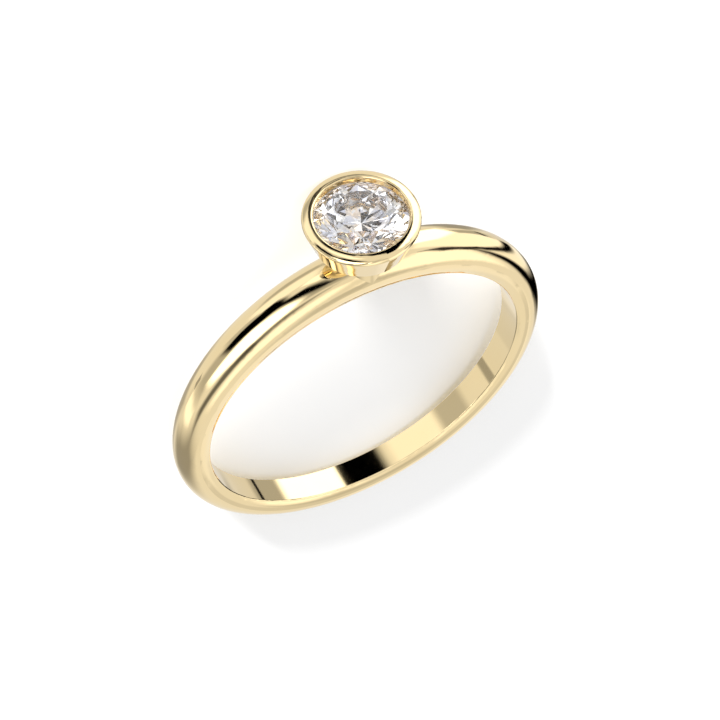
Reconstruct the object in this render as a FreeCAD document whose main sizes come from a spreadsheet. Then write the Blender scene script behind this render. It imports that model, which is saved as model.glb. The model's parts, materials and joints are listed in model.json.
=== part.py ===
import FreeCAD, Part
import math
import os
import Sketcher

# A bezel set ring lying on its side: the gold ring with its cup, and the round brilliant in the cup.
# Both pieces are drawn in the ring's own frame: X runs from the middle of the finger hole to the
# stone, Z is the axis of the finger hole, Y completes the set. They are then tipped together until
# the cup's lip and the back of the band touch the ground.

doc = FreeCAD.newDocument("bezel_ring")
sizes = doc.addObject("Spreadsheet::Sheet", "sizes")

# Driving dimensions in millimetres and degrees, or plain shares
DIMENSIONS = [
    ("finger_radius", 8.6, "radius of the finger hole"),
    ("band_thickness", 1.54, "finger hole to crown at the back of the band"),
    ("head_rise", 0.5, "what the crown gains under the cup"),
    ("rise_power", 4, "how soon that rise dies away round the ring"),
    ("band_width", 1.96, "mean width of the band along the finger"),
    ("width_swing", 0.142, "share of the width gained at the head and lost at the back"),
    ("width_waist", 0.04, "share of the width gained at head and back and lost between"),
    ("face_share", 0.85, "width of the flat inside face as a share of the width"),
    ("corner_radius", 0.1, "rounding along the edges of the finger hole"),
    ("reamed_depth", 0.01, "what the reamer takes from the inside face"),
    ("lip_radius", 2.69, "widest radius of the cup"),
    ("lip_height", 13.06, "height of that circle above the middle of the finger hole"),
    ("lip_top", 13.32, "height of the lip's top"),
    ("roll_radius", 0.18, "rounding of the lip's outer edge"),
    ("dome_radius", 0.62, "shallow rounding over the lip's top"),
    ("mouth_radius", 2.15, "inside radius of the cup above the stone's edge"),
    ("mouth_edge", 0.11, "rounding of the lip's inner edge"),
    ("foot_radius", 2.23, "radius of the cup at its lower edge"),
    ("foot_height", 11.63, "height of that lower edge"),
    ("foot_edge", 0.08, "rounding of the lower edge"),
    ("neck_radius", 1.15, "radius of the neck between cup and band, as wide as the band"),
    ("neck_flare", 0.9, "hollow curve from the neck into the cup's underside"),
    ("neck_root", 9.4, "height inside the band where the neck ends"),
    ("stone_radius", 2.2, "radius of the round brilliant"),
    ("girdle_height", 12.9, "height of the girdle's upper edge"),
    ("girdle_depth", 0.14, "thickness of the girdle at its thickest"),
    ("table_share", 0.56, "width of the table as a share of the stone's"),
    ("crown_angle", 34.5, "slope of the kite facets"),
    ("pavilion_angle", 40.8, "slope of the lower main facets"),
    ("star_share", 0.5, "reach of the star facets from table to girdle"),
    ("lower_share", 0.78, "reach of the lower girdle facets from girdle to point"),
    ("seat_gap", 0.03, "room between stone and metal"),
]
for row, (alias, value, note) in enumerate(DIMENSIONS, start=1):
    sizes.set(f"A{row}", alias.replace("_", " "))
    sizes.set(f"B{row}", str(value))
    sizes.set(f"C{row}", note)
    sizes.setAlias(f"B{row}", alias)
doc.recompute()

ORIGIN = FreeCAD.Vector(0, 0, 0)
ALONG_X = FreeCAD.Vector(1, 0, 0)
ALONG_Y = FreeCAD.Vector(0, 1, 0)
ALONG_Z = FreeCAD.Vector(0, 0, 1)


def worth(formula):
    """Work out what a formula over the sheet comes to."""
    return float(sizes.evalExpression(formula))


def origin_part(body, role):
    """Find one of a body's own origin planes or axes."""
    return next(part for part in body.Origin.OriginFeatures if part.Role == role)


def new_sketch(body, name, axis, angle):
    """Start a sketch on the body's XZ plane, turned about one of the sketch's own axes."""
    sketch = body.newObject("Sketcher::SketchObject", name)
    sketch.AttachmentSupport = [(origin_part(body, "XZ_Plane"), "")]
    sketch.MapMode = "FlatFace"
    sketch.AttachmentOffset = FreeCAD.Placement(ORIGIN, FreeCAD.Rotation(axis, angle))
    return sketch


def add_line(sketch, start, end):
    """Draw a straight line between two points of a sketch."""
    return sketch.addGeometry(Part.LineSegment(FreeCAD.Vector(*start, 0), FreeCAD.Vector(*end, 0)))


def add_arc(sketch, centre, radius, start, end):
    """Draw an arc anticlockwise from one bearing to another, in degrees."""
    circle = Part.Circle(FreeCAD.Vector(*centre, 0), ALONG_Z, radius)
    return sketch.addGeometry(Part.ArcOfCircle(circle, math.radians(start), math.radians(end)))


def bind(sketch, name, formula, kind, *where):
    """Add a dimension to a sketch and tie it to the sheet."""
    index = sketch.addConstraint(Sketcher.Constraint(kind, *where, worth(formula)))
    sketch.renameConstraint(index, name)
    sketch.setExpression(f"Constraints.{name}", formula)


def place(sketch, name, line, end, along, across):
    """Tie one end of a line to two formulas, measured from the sketch's origin."""
    bind(sketch, f"{name}_along", along, "DistanceX", -1, 1, line, end)
    bind(sketch, f"{name}_across", across, "DistanceY", -1, 1, line, end)


def add_outline(sketch, corners):
    """Draw a closed outline of straight lines through corners given as pairs of formulas."""
    points = [(worth(along), worth(across)) for along, across in corners]
    lines = [add_line(sketch, start, end) for start, end in zip(points, points[1:] + points[:1])]
    for line, after in zip(lines, lines[1:] + lines[:1]):
        sketch.addConstraint(Sketcher.Constraint("Coincident", line, 2, after, 1))
    for number, (line, corner) in enumerate(zip(lines, corners)):
        place(sketch, f"corner{number}", line, 1, *corner)


# Heights of the stone's table and point above the middle of the finger hole
CROWN_RUN = "sizes.stone_radius * (1 - sizes.table_share)"
TABLE = f"(sizes.girdle_height + {CROWN_RUN} * tan(sizes.crown_angle * 1 deg))"
POINT = "(sizes.girdle_height - sizes.girdle_depth - sizes.stone_radius * tan(sizes.pavilion_angle * 1 deg))"


# The band: sections set round the finger hole and joined into one closed loop
SECTIONS = 16


def band_section(body, angle):
    """Draw the band cut across: flat inside, rounded edges, bowed sides and a half-round crown."""
    bore = "sizes.finger_radius - sizes.reamed_depth"
    swing = f"sizes.width_swing * cos({angle} deg)"
    waist = f"sizes.width_waist * cos({2 * angle} deg)"
    half_width = f"sizes.band_width / 2 * (1 + {swing} + {waist})"
    face = f"sizes.face_share * {half_width}"
    rise = f"sizes.head_rise * ((1 + cos({angle} deg)) / 2) ^ sizes.rise_power"
    dome_centre = f"sizes.finger_radius + sizes.band_thickness + {rise} - {half_width}"

    inside = worth(bore)
    corner = worth("sizes.corner_radius")
    wide = worth(half_width)
    flat = worth(face)
    middle = worth(dome_centre)
    reach = middle - inside - corner
    bow = (reach ** 2 + (wide - flat) ** 2) / (2 * (wide - flat))
    lean = math.degrees(math.asin(reach / bow)) + 90

    sketch = new_sketch(body, f"section_{round(angle * 10):04d}", ALONG_Y, angle)
    face_line = add_line(sketch, (inside, corner - flat), (inside, flat - corner))
    top_corner = add_arc(sketch, (inside + corner, flat - corner), corner, 90, 180)
    top_side = add_arc(sketch, (middle, wide - bow), bow, 90, lean)
    dome = add_arc(sketch, (middle, 0), wide, -90, 90)
    low_side = add_arc(sketch, (middle, bow - wide), bow, -lean, -90)
    low_corner = add_arc(sketch, (inside + corner, corner - flat), corner, 180, 270)
    joins = [
        ("Tangent", face_line, 2, top_corner, 2),
        ("Coincident", top_corner, 1, top_side, 2),
        ("Tangent", top_side, 1, dome, 2),
        ("Tangent", dome, 1, low_side, 2),
        ("Coincident", low_side, 1, low_corner, 2),
        ("Tangent", low_corner, 1, face_line, 1),
        ("Vertical", dome, 1, dome, 3),
        ("Vertical", dome, 2, dome, 3),
        ("Vertical", top_corner, 1, top_corner, 3),
    ]
    for join in joins:
        sketch.addConstraint(Sketcher.Constraint(*join))
    sketch.addConstraint(Sketcher.Constraint("Vertical", face_line))
    sketch.addConstraint(Sketcher.Constraint("PointOnObject", dome, 3, -1))
    sketch.addConstraint(Sketcher.Constraint("Symmetric", top_corner, 1, low_corner, 2, -1))
    sketch.addConstraint(Sketcher.Constraint("Equal", top_corner, low_corner))
    bind(sketch, "inside", bore, "DistanceX", -1, 1, face_line, 1)
    bind(sketch, "dome_centre", dome_centre, "DistanceX", -1, 1, dome, 3)
    bind(sketch, "half_width", half_width, "Radius", dome)
    bind(sketch, "corner", "sizes.corner_radius", "Radius", top_corner)
    bind(sketch, "face", face, "DistanceY", -1, 1, top_corner, 1)
    return sketch


def add_band(body):
    """Join the sections into the closed band, then ream the finger hole to its true round size."""
    sections = [band_section(body, 360 * step / SECTIONS) for step in range(SECTIONS)]
    band = body.newObject("PartDesign::AdditiveLoft", "band")
    band.Profile = (sections[0], [""])
    band.Sections = [(section, [""]) for section in sections[1:]]
    band.Closed = True
    doc.recompute()

    hole = body.newObject("Sketcher::SketchObject", "finger_circle")
    hole.AttachmentSupport = [(origin_part(body, "XY_Plane"), "")]
    hole.MapMode = "FlatFace"
    circle = hole.addGeometry(Part.Circle(ORIGIN, ALONG_Z, worth("sizes.finger_radius")))
    hole.addConstraint(Sketcher.Constraint("Coincident", circle, 3, -1, 1))
    bind(hole, "finger_radius", "sizes.finger_radius", "Radius", circle)
    reamed = body.newObject("PartDesign::Pocket", "finger_hole")
    reamed.Profile = hole
    reamed.SideType = "Symmetric"
    reamed.setExpression("Length", "2 * sizes.band_width")
    body.Tip = reamed
    doc.recompute()


# The cup: half its outline, turned round the X axis and fused to the band
def add_cup(body):
    """Turn the cup, its neck and the seat for the stone as one piece."""
    root = worth("sizes.neck_root")
    flare_foot = worth("sizes.foot_height - sizes.neck_flare")
    neck = worth("sizes.neck_radius")
    flare = worth("sizes.neck_flare")
    foot = worth("sizes.foot_height")
    edge = worth("sizes.foot_edge")
    foot_middle = (foot + edge, worth("sizes.foot_radius - sizes.foot_edge"))
    roll = worth("sizes.roll_radius")
    roll_middle = (worth("sizes.lip_height"), worth("sizes.lip_radius - sizes.roll_radius"))
    dome = worth("sizes.dome_radius")
    dome_foot = worth("sizes.lip_top - sizes.dome_radius")
    dome_reach = math.sqrt((dome - roll) ** 2 - (roll_middle[0] - dome_foot) ** 2)
    dome_middle = (dome_foot, roll_middle[1] - dome_reach)
    dome_lean = math.degrees(math.atan2(dome_reach, roll_middle[0] - dome_foot))
    mouth = worth("sizes.mouth_radius")
    rim = worth("sizes.mouth_edge")
    rim_reach = mouth + rim - dome_middle[1]
    rim_lean = math.degrees(math.asin(rim_reach / (dome - rim)))
    rim_middle = (dome_foot + math.sqrt((dome - rim) ** 2 - rim_reach ** 2), mouth + rim)
    across = (roll_middle[0] - foot_middle[0], roll_middle[1] - foot_middle[1])
    wall = math.degrees(math.atan2(across[1], across[0])) + math.degrees(
        math.acos((edge - roll) / math.hypot(*across)))
    overhang = "(sizes.stone_radius - sizes.mouth_radius) * tan(sizes.crown_angle * 1 deg)"
    ledge = f"sizes.girdle_height + {overhang} + sizes.seat_gap"
    groove = "sizes.stone_radius + sizes.seat_gap"
    slope = "tan(sizes.pavilion_angle * 1 deg) * cos(22.5 deg)"
    pit = f"{POINT} - sizes.seat_gap * 2"
    seat = f"{pit} + ({groove}) * {slope}"

    def on_circle(middle, radius, bearing):
        turn = math.radians(bearing)
        return (middle[0] + radius * math.cos(turn), middle[1] + radius * math.sin(turn))

    sketch = new_sketch(body, "cup_outline", ALONG_X, 0)
    axis_line = add_line(sketch, (worth(pit), 0), (root, 0))
    root_face = add_line(sketch, (root, 0), (root, neck))
    neck_side = add_line(sketch, (root, neck), (flare_foot, neck))
    flare_arc = add_arc(sketch, (flare_foot, neck + flare), flare, -90, 0)
    underside = add_line(sketch, (foot, neck + flare), (foot, foot_middle[1]))
    foot_arc = add_arc(sketch, foot_middle, edge, wall, 180)
    wall_line = add_line(sketch, on_circle(foot_middle, edge, wall), on_circle(roll_middle, roll, wall))
    roll_arc = add_arc(sketch, roll_middle, roll, dome_lean, wall)
    dome_arc = add_arc(sketch, dome_middle, dome, rim_lean, dome_lean)
    rim_arc = add_arc(sketch, rim_middle, rim, -90, rim_lean)
    mouth_line = add_line(sketch, (rim_middle[0], mouth), (worth(ledge), mouth))
    ledge_line = add_line(sketch, (worth(ledge), mouth), (worth(ledge), worth(groove)))
    groove_line = add_line(sketch, (worth(ledge), worth(groove)), (worth(seat), worth(groove)))
    seat_line = add_line(sketch, (worth(seat), worth(groove)), (worth(pit), 0))
    joins = [
        ("Coincident", axis_line, 2, root_face, 1),
        ("Coincident", root_face, 2, neck_side, 1),
        ("Tangent", neck_side, 2, flare_arc, 1),
        ("Tangent", flare_arc, 2, underside, 1),
        ("Tangent", underside, 2, foot_arc, 2),
        ("Tangent", foot_arc, 1, wall_line, 1),
        ("Tangent", wall_line, 2, roll_arc, 2),
        ("Tangent", roll_arc, 1, dome_arc, 2),
        ("Tangent", dome_arc, 1, rim_arc, 2),
        ("Tangent", rim_arc, 1, mouth_line, 1),
        ("Coincident", mouth_line, 2, ledge_line, 1),
        ("Coincident", ledge_line, 2, groove_line, 1),
        ("Coincident", groove_line, 2, seat_line, 1),
        ("Coincident", seat_line, 2, axis_line, 1),
    ]
    for join in joins:
        sketch.addConstraint(Sketcher.Constraint(*join))
    for upright in (root_face, underside, ledge_line):
        sketch.addConstraint(Sketcher.Constraint("Vertical", upright))
    for level in (axis_line, neck_side, mouth_line, groove_line):
        sketch.addConstraint(Sketcher.Constraint("Horizontal", level))
    place(sketch, "pit", axis_line, 1, pit, "0")
    bind(sketch, "neck_root", "sizes.neck_root", "DistanceX", -1, 1, root_face, 1)
    bind(sketch, "neck_radius", "sizes.neck_radius", "DistanceY", -1, 1, neck_side, 1)
    bind(sketch, "flare", "sizes.neck_flare", "Radius", flare_arc)
    bind(sketch, "foot_height", "sizes.foot_height", "DistanceX", -1, 1, underside, 1)
    bind(sketch, "foot_edge", "sizes.foot_edge", "Radius", foot_arc)
    bind(sketch, "foot_radius", "sizes.foot_radius - sizes.foot_edge", "DistanceY", -1, 1, foot_arc, 3)
    bind(sketch, "roll_height", "sizes.lip_height", "DistanceX", -1, 1, roll_arc, 3)
    bind(sketch, "roll_out", "sizes.lip_radius - sizes.roll_radius", "DistanceY", -1, 1, roll_arc, 3)
    bind(sketch, "roll", "sizes.roll_radius", "Radius", roll_arc)
    bind(sketch, "dome", "sizes.dome_radius", "Radius", dome_arc)
    bind(sketch, "dome_height", "sizes.lip_top - sizes.dome_radius", "DistanceX", -1, 1, dome_arc, 3)
    bind(sketch, "mouth_edge", "sizes.mouth_edge", "Radius", rim_arc)
    bind(sketch, "mouth_radius", "sizes.mouth_radius", "DistanceY", -1, 1, mouth_line, 1)
    bind(sketch, "ledge", ledge, "DistanceX", -1, 1, ledge_line, 1)
    place(sketch, "seat", seat_line, 1, seat, groove)

    cup = body.newObject("PartDesign::Revolution", "cup")
    cup.Profile = sketch
    cup.ReferenceAxis = (origin_part(body, "X_Axis"), [""])
    cup.Angle = 360
    return cup


def make_ring():
    """The gold: band and cup soldered into one solid."""
    body = doc.addObject("PartDesign::Body", "ring")
    body.Label = "ring"
    add_band(body)
    body.Tip = add_cup(body)
    return body


# The stone: a short rod cut back by five rounds of flat facets
MARGIN = 0.3


def facet_round(body, name, count, turn, height, radius, slope):
    """Cut a round of equal facets. Each is a plane through one height and radius, with one slope.

    The slope says how far the plane drops, along X, for each millimetre outwards: it is positive on
    the crown, negative under the girdle.
    """
    steep = worth(slope)
    outside = f"(sizes.stone_radius + {MARGIN})"
    beyond = f"{TABLE} + {MARGIN}" if steep > 0 else f"{POINT} - {MARGIN}"
    at_outside = f"({height}) - ({outside} - ({radius})) * ({slope})"
    at_beyond = f"({radius}) - (({beyond}) - ({height})) / ({slope})"
    sketch = new_sketch(body, f"{name}_outline", ALONG_X, turn)
    add_outline(sketch, [(at_outside, outside), (beyond, outside), (beyond, at_beyond)])
    facet = body.newObject("PartDesign::Pocket", f"{name}_facet")
    facet.Profile = sketch
    facet.SideType = "Symmetric"
    facet.setExpression("Length", "4 * sizes.stone_radius")
    facets = body.newObject("PartDesign::PolarPattern", f"{name}_facets")
    facets.Originals = [facet]
    facets.Axis = (origin_part(body, "X_Axis"), [""])
    facets.Angle = 360
    facets.Occurrences = count
    body.Tip = facets
    doc.recompute()
    return facets


def make_stone():
    """The round brilliant: eight kites, eight stars, and sixteen, eight and sixteen smaller facets."""
    body = doc.addObject("PartDesign::Body", "stone")
    body.Label = "stone"
    rod_outline = new_sketch(body, "rod_outline", ALONG_X, 0)
    rim = "sizes.stone_radius"
    add_outline(rod_outline, [(POINT, "0"), (TABLE, "0"), (TABLE, rim), (POINT, rim)])
    rod = body.newObject("PartDesign::Revolution", "rod")
    rod.Profile = rod_outline
    rod.ReferenceAxis = (origin_part(body, "X_Axis"), [""])
    rod.Angle = 360
    body.Tip = rod
    doc.recompute()

    crown = "tan(sizes.crown_angle * 1 deg)"
    under = "tan(sizes.pavilion_angle * 1 deg)"
    girdle_top = "sizes.girdle_height"
    girdle_foot = "sizes.girdle_height - sizes.girdle_depth"
    eighth = "cos(22.5 deg)"
    sixteenth = "cos(11.25 deg)"
    # Where a star's tip meets two kites, on the line midway between them
    table_edge = f"sizes.stone_radius * sizes.table_share * {eighth}"
    star_tip = f"({table_edge} + sizes.star_share * (sizes.stone_radius - {table_edge}))"
    star_drop = f"({star_tip} * {eighth} - sizes.stone_radius * sizes.table_share) * {crown}"
    tip_height = f"({TABLE} - {star_drop})"
    # Where two lower girdle facets meet, on the line midway between two main facets
    lower_tip = "(1 - sizes.lower_share) * sizes.stone_radius"
    lower_drop = f"(sizes.stone_radius - {lower_tip} * {eighth}) * {under}"

    star_slope = f"{star_drop} / ({star_tip} - {table_edge})"
    upper_slope = f"({tip_height} - {girdle_top}) / ((sizes.stone_radius - {star_tip}) * {sixteenth})"
    lower_slope = f"-({lower_drop}) / ((sizes.stone_radius - {lower_tip}) * {sixteenth})"
    rim_between = f"sizes.stone_radius * {sixteenth}"
    facet_round(body, "kite", 8, 0, girdle_top, rim, crown)
    facet_round(body, "star", 8, 22.5, TABLE, table_edge, star_slope)
    facet_round(body, "upper_girdle", 16, 11.25, girdle_top, rim_between, upper_slope)
    facet_round(body, "main", 8, 0, girdle_foot, rim, f"-{under}")
    facet_round(body, "lower_girdle", 16, 11.25, girdle_foot, rim_between, lower_slope)
    return body


def lay_down(pieces):
    """Tip the pieces until lip and band rest on the ground, and centre them over the origin."""
    back_width = "sizes.band_width / 2 * (1 - sizes.width_swing + sizes.width_waist)"
    back_middle = f"(sizes.finger_radius + sizes.band_thickness - {back_width})"
    length = worth(f"sizes.lip_height + {back_middle}")
    lip_middle = worth("sizes.lip_radius - sizes.roll_radius")
    difference = worth(f"sizes.roll_radius - {back_width}")
    tilt = math.atan2(lip_middle, length) + math.asin(difference / math.hypot(length, lip_middle))
    lift = math.sin(tilt) * worth(back_middle) + worth(back_width)
    turn = FreeCAD.Rotation(ALONG_Y, -math.degrees(tilt))
    for piece in pieces:
        piece.Placement = FreeCAD.Placement(FreeCAD.Vector(0, 0, lift), turn)
    doc.recompute()
    boxes = [piece.Shape.optimalBoundingBox(True) for piece in pieces]
    middle = (min(box.XMin for box in boxes) + max(box.XMax for box in boxes)) / 2
    for piece in pieces:
        piece.Placement = FreeCAD.Placement(FreeCAD.Vector(-middle, 0, lift), turn)
    doc.recompute()
    print(f"tilt {math.degrees(tilt):.4f} deg, middle of the finger hole at ({-middle:.4f}, 0, {lift:.4f})")


ring = make_ring()
stone = make_stone()
doc.recompute()
lay_down([ring, stone])

for item in doc.Objects:
    faults = {"Invalid", "Error"} & set(item.State)
    if faults:
        raise RuntimeError(f"{item.Name} is {faults}")
for piece in (ring, stone):
    if piece.Shape.isNull() or not piece.Shape.isValid():
        raise RuntimeError(f"{piece.Label} has no valid shape")
    if len(piece.Shape.Solids) != 1:
        raise RuntimeError(f"{piece.Label} has {len(piece.Shape.Solids)} solids")
    print(f"{piece.Label}: {piece.Shape.Volume:.3f} mm3, {len(piece.Shape.Faces)} faces")

os.makedirs("parts", exist_ok=True)
for piece in (ring, stone):
    piece.Shape.exportStep(f"parts/{piece.Label}.step")
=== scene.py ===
import json
import math

import bpy
from mathutils import Matrix, Vector

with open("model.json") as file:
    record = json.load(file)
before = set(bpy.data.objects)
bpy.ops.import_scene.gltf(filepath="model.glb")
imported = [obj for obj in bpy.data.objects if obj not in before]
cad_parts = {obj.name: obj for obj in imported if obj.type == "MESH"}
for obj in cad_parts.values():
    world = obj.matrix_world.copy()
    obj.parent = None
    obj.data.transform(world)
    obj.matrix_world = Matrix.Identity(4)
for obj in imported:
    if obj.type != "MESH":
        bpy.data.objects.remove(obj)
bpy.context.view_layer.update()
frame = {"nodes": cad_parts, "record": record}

# %% [markdown]
# A bezel set ring lying on its side: a slender gold band with a half round outside, a tapered cup on
# a short root, and a round brilliant in the cup. The solids already have every size, so the script
# first asks them where things are. The record gives the finger hole's middle and the direction of
# its axis. The ring leans a little, because it rests on its cup and on the band, so the direction of
# the head is worked out from the axis rather than taken as level.

# %% Where things are
MM = 0.001
hole = next(mount for mount in frame["record"]["mounts"] if mount["name"] == "finger_hole")
HOLE_MIDDLE = Vector(hole["pos_m"])
FINGER = Vector(hole["axis"]).normalized()
SIDE = Vector((0, 1, 0))
HEAD = SIDE.cross(FINGER).normalized()
RING_TO_ROW = Matrix((HEAD, SIDE, FINGER)).transposed().to_4x4()
RING_TO_ROW.translation = HOLE_MIDDLE
print("finger hole around", tuple(HOLE_MIDDLE), "head towards", tuple(HEAD))

# %% [markdown]
# The camera. The photograph looks at the head from close by with a long lens. A camera could be
# placed with a matrix, but nobody can read one. Here it is placed as a photographer would say it:
# the point it looks at, a bearing, a height and a distance, all in the ring's own frame, and then
# a roll about its line of sight until the head stands at the top of the picture.

# %% The camera
LOOK_AT = Vector((0.580, -0.388, -0.758)) * MM
CAMERA_BEARING = math.radians(17.51)
CAMERA_HEIGHT = math.radians(29.91)
CAMERA_DISTANCE = 93.48 * MM
CAMERA_ROLL = math.radians(148.17)
LENS = 92.96
SENSOR_WIDTH = 36
NEAREST_SEEN = 1 * MM
MATRIX_SIZE = 4

line_of_sight = -Vector((
    math.cos(CAMERA_HEIGHT) * math.cos(CAMERA_BEARING),
    math.cos(CAMERA_HEIGHT) * math.sin(CAMERA_BEARING),
    math.sin(CAMERA_HEIGHT),
))
camera = bpy.data.objects.new("camera", bpy.data.cameras.new("camera"))
bpy.context.scene.collection.objects.link(camera)
camera.data.sensor_fit = "HORIZONTAL"
camera.data.sensor_width = SENSOR_WIDTH
camera.data.lens = LENS
camera.data.clip_start = NEAREST_SEEN
stand = Matrix.Translation(LOOK_AT - CAMERA_DISTANCE * line_of_sight)
aim = line_of_sight.to_track_quat("-Z", "Y").to_matrix().to_4x4()
roll = Matrix.Rotation(CAMERA_ROLL, MATRIX_SIZE, "Z")
camera.matrix_world = RING_TO_ROW @ stand @ aim @ roll
bpy.context.scene.camera = camera
print("camera at", tuple(round(c / MM, 1) for c in camera.matrix_world.translation), "mm")

# %% [markdown]
# Shader maths. A finish is a recipe of masks that are added and multiplied, and a web of Math nodes
# hides that recipe. A small class wraps a socket and turns each operator into a node, so that the
# code reads like the recipe.


# %% A number on a wire
class Wire:
    """A number that changes over a surface. Adding or multiplying it adds a Math node."""

    def __init__(self, kit, socket):
        self.kit = kit
        self.socket = socket

    def maths(self, operation, *values):
        node = self.kit.node("ShaderNodeMath", {"operation": operation}, dict(enumerate(values)))
        return Wire(self.kit, node.outputs[0])

    def __add__(self, other):
        return self.maths("ADD", self, other)

    def __radd__(self, other):
        return self.maths("ADD", other, self)

    def __sub__(self, other):
        return self.maths("SUBTRACT", self, other)

    def __rsub__(self, other):
        return self.maths("SUBTRACT", other, self)

    def __mul__(self, other):
        return self.maths("MULTIPLY", self, other)

    def __rmul__(self, other):
        return self.maths("MULTIPLY", other, self)

    def step(self, low, high):
        """Rise smoothly from 0 at low to 1 at high."""
        settings = {"interpolation_type": "SMOOTHSTEP"}
        sockets = {"Value": self, "From Min": low, "From Max": high}
        node = self.kit.node("ShaderNodeMapRange", settings, sockets)
        return Wire(self.kit, node.outputs["Result"])

    def around(self, middle, half_width, softness):
        """1 within half_width of the middle, and 0 beyond the soft edge."""
        rise = self.step(middle - half_width - softness, middle - half_width)
        fall = self.step(middle + half_width, middle + half_width + softness)
        return rise * (1 - fall)


# %% [markdown]
# A finish under construction. Adding a node by hand takes three or four lines, and a finish has
# dozens of them. One method adds any node: the kind, the settings, which come first because they can
# change the sockets, and then the values or links of its sockets. The Mix node has sockets of the
# same name for each kind of value, so those for colours go by number.

# %% The finish kit
MIX_MASK = 0
MIX_COLOUR = 6
MIX_OTHER_COLOUR = 7
MIX_RESULT = 2


class Finish:
    """A node tree under construction."""

    def __init__(self, tree):
        self.tree = tree
        self.tree.nodes.clear()

    def node(self, kind, settings, sockets):
        """Add a node. Sockets are named or numbered, and take a value, a Wire or another socket."""
        node = self.tree.nodes.new(kind)
        for name, value in settings.items():
            setattr(node, name, value)
        for name, value in sockets.items():
            if isinstance(value, Wire):
                value = value.socket
            if isinstance(value, bpy.types.NodeSocket):
                self.tree.links.new(value, node.inputs[name])
            else:
                node.inputs[name].default_value = value
        return node

    def number(self, node, output):
        return Wire(self, node.outputs[output])

    def vectors(self, operation, first, second):
        return self.node("ShaderNodeVectorMath", {"operation": operation}, {0: first, 1: second})

    def blend(self, mask, colour, other):
        """The colour where the mask is 0, and the other one where it is 1."""
        sockets = {MIX_MASK: mask, MIX_COLOUR: colour, MIX_OTHER_COLOUR: other}
        node = self.node("ShaderNodeMix", {"data_type": "RGBA"}, sockets)
        return node.outputs[MIX_RESULT]

    def place(self):
        return self.node("ShaderNodeTexCoord", {}, {}).outputs["Object"]


def new_finish(name):
    material = bpy.data.materials.new(name)
    material.use_nodes = True
    return material, Finish(material.node_tree)


# %% [markdown]
# Three measures that the finishes share: how far a point is from the finger hole's middle towards
# the head, how far it is from the line that runs through the head, and whether the surface there
# faces that line. A mask could be painted by hand, but these follow the ring's own frame and stay
# right however the ring leans. A cross product with a direction of length one is as long as the
# distance from the line along it, and a surface faces the line when its normal points against the
# way outwards.


# %% Height and reach
FACING_EDGE = 0.05 * MM


def from_hole_middle(kit, place):
    return kit.vectors("SUBTRACT", place, HOLE_MIDDLE).outputs["Vector"]


def height_towards_head(kit, place):
    across = from_hole_middle(kit, place)
    return kit.number(kit.vectors("DOT_PRODUCT", across, HEAD), "Value")


def reach_from_head_line(kit, place):
    across = from_hole_middle(kit, place)
    sideways = kit.vectors("CROSS_PRODUCT", across, HEAD).outputs["Vector"]
    length = kit.node("ShaderNodeVectorMath", {"operation": "LENGTH"}, {0: sideways})
    return kit.number(length, "Value")


def faces_head_line(kit, place):
    across = from_hole_middle(kit, place)
    normal = kit.node("ShaderNodeTexCoord", {}, {}).outputs["Normal"]
    away = kit.number(kit.vectors("DOT_PRODUCT", normal, across), "Value")
    upwards = kit.number(kit.vectors("DOT_PRODUCT", normal, HEAD), "Value")
    outwards = away - upwards * height_towards_head(kit, place)
    return 1 - outwards.step(-FACING_EDGE, 0.0)


print("the head line runs through", tuple(HOLE_MIDDLE), "along", tuple(HEAD))

# %% [markdown]
# Gold. Polished yellow gold has no look of its own but its colour and what it mirrors. A single
# colour with no roughness looks like computer gold, because a polishing mop leaves faint traces:
# patches that are a touch warmer and duller, and hair scratches that only show in a highlight. They
# are noise at two scales, about 2.5 mm and 0.1 mm. A goldsmith cuts the seat under the stone bright
# and often plates it white, which keeps a diamond from looking yellow, so the metal that faces the
# stone from below is paler.

# %% Polished gold
GOLD_COLOUR = (0.96, 0.775, 0.45, 1)
GOLD_WARM = (0.95, 0.75, 0.41, 1)
SEAT_COLOUR = (0.95, 0.86, 0.74, 1)
SEAT_FOOT = 10.6 * MM
SEAT_TOP = 12.95 * MM
SEAT_RADIUS = 2.26 * MM
SEAT_EDGE = 0.02 * MM
PATCH_SCALE = 400
PATCH_DETAIL = 3
PATCH_RANGE = (0.35, 0.7)
PATCH_WARMTH = 0.35
SCRATCH_SCALE = 9000
SCRATCH_DETAIL = 2
SCRATCH_RANGE = (0.55, 0.75)
MIRROR_ROUGHNESS = 0.045
DULLER = 0.02
SCRATCH_DEPTH = 0.01 * MM
SCRATCH_STRENGTH = 0.02


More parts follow.
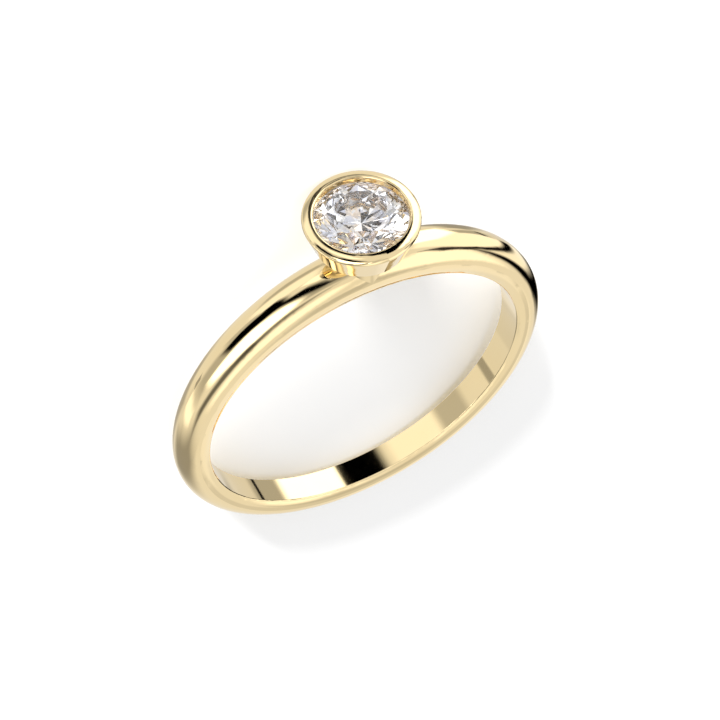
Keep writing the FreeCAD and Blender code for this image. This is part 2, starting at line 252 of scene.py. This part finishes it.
def polished_gold():
    material, kit = new_finish("polished_gold")
    place = kit.place()
    cloud = kit.node("ShaderNodeTexNoise", {}, {
        "Vector": place, "Scale": PATCH_SCALE, "Detail": PATCH_DETAIL,
    })
    hair = kit.node("ShaderNodeTexNoise", {}, {
        "Vector": place, "Scale": SCRATCH_SCALE, "Detail": SCRATCH_DETAIL,
    })
    patches = kit.number(cloud, "Fac").step(*PATCH_RANGE)
    scratches = kit.number(hair, "Fac").step(*SCRATCH_RANGE)
    height = height_towards_head(kit, place)
    reach = reach_from_head_line(kit, place)
    above_foot = height.step(SEAT_FOOT, SEAT_FOOT + SEAT_EDGE)
    below_top = 1 - height.step(SEAT_TOP - SEAT_EDGE, SEAT_TOP + SEAT_EDGE)
    inside = 1 - reach.step(SEAT_RADIUS - SEAT_EDGE, SEAT_RADIUS + SEAT_EDGE)
    yellow = kit.blend(patches * PATCH_WARMTH, GOLD_COLOUR, GOLD_WARM)
    seat = above_foot * below_top * inside * faces_head_line(kit, place)
    colour = kit.blend(seat, yellow, SEAT_COLOUR)
    dullness = MIRROR_ROUGHNESS + patches * DULLER + scratches * DULLER
    relief = kit.node("ShaderNodeBump", {}, {
        "Strength": SCRATCH_STRENGTH, "Distance": SCRATCH_DEPTH, "Height": scratches,
    })
    metal = kit.node("ShaderNodeBsdfPrincipled", {}, {
        "Base Color": colour, "Metallic": 1.0, "Roughness": dullness, "Normal": relief.outputs["Normal"],
    })
    kit.node("ShaderNodeOutputMaterial", {}, {"Surface": metal.outputs["BSDF"]})
    return material


gold = polished_gold()
ring = frame["nodes"]["ring"]
for slot in ring.material_slots:
    slot.material = gold
print("ring", len(ring.data.polygons), "faces in", [slot.name for slot in ring.material_slots])

# %% [markdown]
# Diamond. It bends light so strongly that most of what enters through the flat top is turned round
# by the facets below and comes back up. Clear glass with diamond's index does this by itself, if the
# renderer may follow enough turns. The flashes of colour come from red and blue light bending by
# different amounts. Three glasses added together would do that, but a path that changes glass inside
# the stone goes black, and the stone looks dark. So the flashes are painted instead: small cells are
# tinted violet or amber, which gives the same few coloured flashes as painted colour that the clear
# stone itself does not have. Each cell has a random colour that is the same on every run, and read
# as one number it draws the cell's lot. The edge of the stone is ground and left a little frosted.

# %% Cut diamond
DIAMOND_INDEX = 2.417
CLEAR = (1.0, 1.0, 1.0, 1)
# The violet and amber tints are painted flashes of colour, standing in for the light that dispersion
# splits.
PAINTED_VIOLET_FLASH = (0.82, 0.85, 1.0, 1)
PAINTED_AMBER_FLASH = (1.0, 0.86, 0.72, 1)
PAINTED_FLASH_SCALE = 2200
PAINTED_VIOLET_FLASH_RANGE = (0.60, 0.64)
PAINTED_AMBER_FLASH_RANGE = (0.28, 0.32)
FROST = 0.30
FROST_EDGE = 0.02 * MM
GIRDLE_HALF = 0.05 * MM

stone = frame["nodes"]["stone"]


def from_head_line(point):
    return (point - HOLE_MIDDLE).cross(HEAD).length


widest = max((vertex.co for vertex in stone.data.vertices), key=from_head_line)
GIRDLE = (widest - HOLE_MIDDLE).dot(HEAD)
print("girdle at", round(GIRDLE / MM, 2), "mm, radius", round(from_head_line(widest) / MM, 2), "mm")


def cut_diamond():
    material, kit = new_finish("cut_diamond")
    place = kit.place()
    cells = kit.node("ShaderNodeTexVoronoi", {}, {"Vector": place, "Scale": PAINTED_FLASH_SCALE})
    lot = kit.number(cells, "Color")
    # Cells of painted flashes: a violet or amber tint painted into the clear glass.
    painted_violet_flashes = lot.step(*PAINTED_VIOLET_FLASH_RANGE)
    painted_amber_flashes = 1 - lot.step(*PAINTED_AMBER_FLASH_RANGE)
    colour = kit.blend(painted_amber_flashes, kit.blend(painted_violet_flashes, CLEAR, PAINTED_VIOLET_FLASH), PAINTED_AMBER_FLASH)
    frost = height_towards_head(kit, place).around(GIRDLE, GIRDLE_HALF, FROST_EDGE)
    glass = kit.node("ShaderNodeBsdfPrincipled", {}, {
        "Base Color": colour, "Roughness": frost * FROST, "IOR": DIAMOND_INDEX, "Transmission Weight": 1.0,
    })
    kit.node("ShaderNodeOutputMaterial", {}, {"Surface": glass.outputs["BSDF"]})
    return material


diamond = cut_diamond()
for slot in stone.material_slots:
    slot.material = diamond
print("stone", len(stone.data.polygons), "faces")

# %% [markdown]
# The floor. The photograph's ground is so bright that it is white, with only a soft grey shadow. A
# wide matt sheet does this. It is hidden from the gold's reflections, which see the studio all
# round instead, as they do in the photograph, where the ring stands free of the ground.

# %% The floor
FLOOR_HALF = 1.5
FLOOR_WHITE = (0.9, 0.9, 0.9, 1)
floor_mesh = bpy.data.meshes.new("floor")
floor_corners = [(-FLOOR_HALF, -FLOOR_HALF, 0), (FLOOR_HALF, -FLOOR_HALF, 0)]
floor_corners += [(FLOOR_HALF, FLOOR_HALF, 0), (-FLOOR_HALF, FLOOR_HALF, 0)]
floor_face = tuple(range(len(floor_corners)))
floor_mesh.from_pydata(floor_corners, [], [floor_face])
floor = bpy.data.objects.new("floor", floor_mesh)
bpy.context.scene.collection.objects.link(floor)
matt_white, floor_kit = new_finish("matt_white")
paper = floor_kit.node("ShaderNodeBsdfDiffuse", {}, {"Color": FLOOR_WHITE})
floor_kit.node("ShaderNodeOutputMaterial", {}, {"Surface": paper.outputs["BSDF"]})
floor_mesh.materials.append(matt_white)
floor.visible_glossy = False
floor.visible_transmission = False
print("floor", 2 * FLOOR_HALF, "m wide")

# %% [markdown]
# The studio. Polished gold shows what stands round it, so its black and white streaks are made by
# the studio and not by the metal. Photographers hang white panels and black flags round a ring. Each
# one here is a flat sheet with straight sides: its corners as a bearing and a height in degrees seen
# from the ring, then how soft its edges are in degrees, and how brightly it glows. They could be
# meshes that give off light, but drawn into the world's light they stand in nobody's way when the
# camera walks round. A later sheet hangs in front of an earlier one.

# %% The sheets of the studio
ROOM_GLOW = 0.87
SHEETS = [
    ("high white panel", [(-180, 62), (-90, 72), (0, 78), (90, 72), (150, 44), (172, 42)], 10, 1.35),
    ("broad left panel",
     [(-146, 44), (-134, 28), (-96, 32), (-62, 42), (-64, 60), (-110, 70), (-148, 60)], 12, 1.35),
    ("left softbox", [(-90, 28), (-104, -2), (-112, -25), (-45, -24), (-48, 26), (-66, 30)], 8, 1.25),
    ("low white panel",
     [(-60, 2), (-74, -24), (-78, -44), (-34, -38), (-28, -20), (-30, 14), (-44, 10)], 6, 2.20),
    ("light between flags",
     [(-128, -30), (-124, 8), (-112, 20), (-104, 20), (-110, 0), (-121, -30)], 6, 1.10),
    ("far pale wall", [(-168, 21), (-168, -14), (-152, -14), (-152, 21)], 6, 0.98),
    ("far grey wall", [(-168, 38), (-168, 22), (-158, 22), (-157, 38)], 5, 0.72),
    ("far grey ceiling", [(-170, 38), (-152, 38), (-146, 56), (-168, 56)], 8, 0.60),
    ("dusk", [(62, 14), (66, -20), (98, -18), (106, 14)], 18, 0.50),
    ("right softbox", [(24, 46), (34, 26), (56, 14), (92, 12), (99, 30), (84, 52), (50, 57)], 13, 2.60),
    ("small front panel", [(0, 8), (-2, -12), (12, -17), (20, -8), (12, 8)], 4, 1.40),
    ("narrow right panel", [(115, 14), (105, -6), (103, -24), (114, -24), (120, -6), (124, 12)], 8, 1.35),
    ("ground glow", [(12, -14), (6, -30), (6, -43), (54, -43), (52, -30), (46, -14)], 8, 1.15),
    ("grey wall behind", [(136, 30), (126, -10), (132, -28), (162, -28), (166, 26)], 22, 0.34),
    ("grey ground behind", [(124, -38), (130, -62), (172, -62), (178, -44), (164, -36)], 14, 0.45),
    ("grey ground at left", [(-160, -38), (-150, -54), (-112, -56), (-88, -44), (-98, -37)], 8, 0.36),
    ("tan ground in front", [(-2, -46), (-4, -62), (30, -70), (48, -62), (50, -49)], 8, 0.50),
    ("brown wall over the front", [(-14, 56), (-8, 32), (22, 32), (30, 52)], 14, 0.42),
    ("left flag, low", [(-143, -36), (-144, -6), (-139, 9), (-125, 11), (-126, -6), (-134, -36)], 10, 0.0),
    ("left flag, high", [(-141, 4), (-134, 17), (-114, 27), (-93, 30), (-110, 17), (-126, 2)], 8, 0.0),
    ("thin left flag, low", [(-121, -30), (-107, 2), (-100, 2), (-111, -30)], 5, 0.0),
    ("thin left flag, middle", [(-107, 0), (-100, 22), (-92, 22), (-100, 0)], 5, 0.0),
    ("thin left flag, high", [(-100, 20), (-94, 34), (-83, 33), (-92, 20)], 6, 0.0),
    ("thin left flag, top", [(-96, 30), (-84, 43), (-62, 41), (-72, 33), (-88, 29)], 7, 0.03),
    ("right flag, high", [(0, 44), (12, 43), (32, 24), (42, 4), (17, 9), (9, 22)], 10, 0.0),
    ("right flag, low", [(30, 13), (29, -6), (34, -19), (60, -19), (74, -12), (72, 6), (46, 13)], 8, 0.0),
    ("front flag", [(-29, -24), (-27, -4), (-25, 10), (-16, 10), (-14, -8), (-14, -24)], 3, 0.0),
    ("front flag, corner", [(-20, -4), (-14, -6), (-3, -20), (-3, -24), (-20, -24)], 3, 0.0),
    ("front flag, low", [(-27.5, -18), (2, -18), (3, -28), (-27, -28)], 8, 0.0),
    ("front flag, foot", [(-10, -28), (-2, -28), (0, -44), (-8, -54), (-20, -50), (-17, -42)], 4, 0.05),
    ("front flag, strip", [(-30, -36), (-16, -42), (-14, -47), (-28, -42)], 3, 0.10),
    ("pale ground at left", [(-172, -29), (-104, -25), (-104, -34), (-172, -38)], 3, 0.76),
    ("tan ground at left", [(-104, -24), (-78, -22), (-76, -33), (-104, -35)], 5, 0.46),
    ("small flag on the ground", [(-99.5, -24), (-96.5, -24), (-96.5, -34), (-99.5, -34)], 1, 0.0),
    ("tan ground at right", [(46, -16), (48, -27), (72, -31), (70, -19)], 8, 0.54),
    ("notch in the ground", [(95, -23), (103, -23), (103, -33), (95, -33)], 2, 0.38),
    ("pale ground at right", [(104, -25), (130, -27), (130, -34), (104, -33)], 4, 0.80),
    ("top flag, left", [(0, 64), (30, 72), (60, 71), (90, 66), (88, 54), (50, 60)], 10, 0.22),
    ("top flag, right", [(82, 67), (110, 62), (126, 50), (104, 45), (84, 53)], 10, 0.08),
    ("top flag, end", [(104, 60), (126, 54), (140, 28), (122, 28), (102, 44)], 12, 0.16),
]
print(len(SHEETS), "sheets round the ring")

# %% [markdown]
# A sheet seen from the ring is a patch of directions. Two neighbouring corners and the ring lie in a
# plane, and a direction is behind the sheet when it is on the inner side of all those planes. The
# dot product with a plane's normal says how far inside it is, the smallest of them decides, and a
# smooth step makes the edge as soft as a real panel's out of focus edge.


# %% From corners to light
def towards(bearing, height):
    """The direction with this bearing and this height over the floor, in degrees."""
    turn = math.radians(bearing)
    rise = math.radians(height)
    return Vector((math.cos(rise) * math.cos(turn), math.cos(rise) * math.sin(turn), math.sin(rise)))


def sheet_mask(kit, direction, corners, softness):
    points = [towards(*corner) for corner in corners]
    middle = sum(points, Vector()).normalized()
    half_soft = math.sin(math.radians(softness)) / 2
    mask = None
    for point, following in zip(points, points[1:] + points[:1]):
        normal = point.cross(following).normalized()
        if normal.dot(middle) < 0:
            normal.negate()
        inside = kit.number(kit.vectors("DOT_PRODUCT", direction, normal), "Value")
        mask = inside if mask is None else mask.maths("MINIMUM", mask, inside)
    return mask.step(-half_soft, half_soft)


print("bearing 0 and height 0 point along", tuple(towards(0, 0)))

# %% [markdown]
# The world's light shows the sheets to the gold and the stone only. The camera sees plain white
# behind the ring, and the floor is lit by that same plain white, because the flags would throw
# stripes of shadow on it that no studio has. Cycles can sample a world as a picture of itself, which
# takes long with this many sheets and gains nothing for mirrors, so that is turned off.

# %% The light all round
WHITE = (1, 1, 1, 1)
FLOOR_GLOW = 1.0
world = bpy.data.worlds.new("studio")
bpy.context.scene.world = world
world.use_nodes = True
world.cycles.sampling_method = "NONE"
sky = Finish(world.node_tree)
direction = sky.node("ShaderNodeTexCoord", {}, {}).outputs["Generated"]
glow = ROOM_GLOW
for name, corners, softness, brightness in SHEETS:
    mask = sheet_mask(sky, direction, corners, softness)
    glow = glow + (brightness - glow) * mask
mirrored = sky.node("ShaderNodeBackground", {}, {"Color": WHITE, "Strength": glow})
plain = sky.node("ShaderNodeBackground", {}, {"Color": WHITE, "Strength": FLOOR_GLOW})
paths = sky.node("ShaderNodeLightPath", {}, {})
unmirrored = sky.number(paths, "Is Camera Ray") + sky.number(paths, "Is Diffuse Ray")
light = sky.node("ShaderNodeMixShader", {}, {
    0: unmirrored, 1: mirrored.outputs["Background"], 2: plain.outputs["Background"],
})
sky.node("ShaderNodeOutputWorld", {}, {"Surface": light.outputs["Shader"]})
print("world of", len(sky.tree.nodes), "nodes")

# %% [markdown]
# The key light throws the soft shadow that ties the ring to the ground. A lamp close by would light
# the floor unevenly, so a sun is used, wide enough for a soft edge and low on the camera's side, so
# that the shadow falls away from the camera. Its bearing, height and width are in degrees. Mirrors
# would show a sun as a hard dot, so it is hidden from them and left to light the floor.

# %% The key light
KEY_BEARING = 18
KEY_HEIGHT = 8
KEY_STRENGTH = 11.0
KEY_WIDTH = 12
key = bpy.data.objects.new("key", bpy.data.lights.new("key", "SUN"))
bpy.context.scene.collection.objects.link(key)
key.data.energy = KEY_STRENGTH
key.data.angle = math.radians(KEY_WIDTH)
key.rotation_mode = "QUATERNION"
key.rotation_quaternion = (-towards(KEY_BEARING, KEY_HEIGHT)).to_track_quat("-Z", "Y")
key.visible_glossy = False
key.visible_transmission = False
print("key light from bearing", KEY_BEARING, "height", KEY_HEIGHT, "width", KEY_WIDTH)

# %% [markdown]
# The picture's white should be the floor's white, so the plain display transform is used instead of
# one that softens highlights. A cut stone sends light round many times before it leaves. A path that
# is cut short is black, so the renderer may follow each one for long.

# %% How the picture is made
STONE_TURNS = 32
bpy.context.scene.view_settings.view_transform = "Standard"
light_paths = bpy.context.scene.cycles
light_paths.max_bounces = STONE_TURNS
light_paths.glossy_bounces = STONE_TURNS
light_paths.transmission_bounces = STONE_TURNS
print("light may turn", STONE_TURNS, "times on its way")
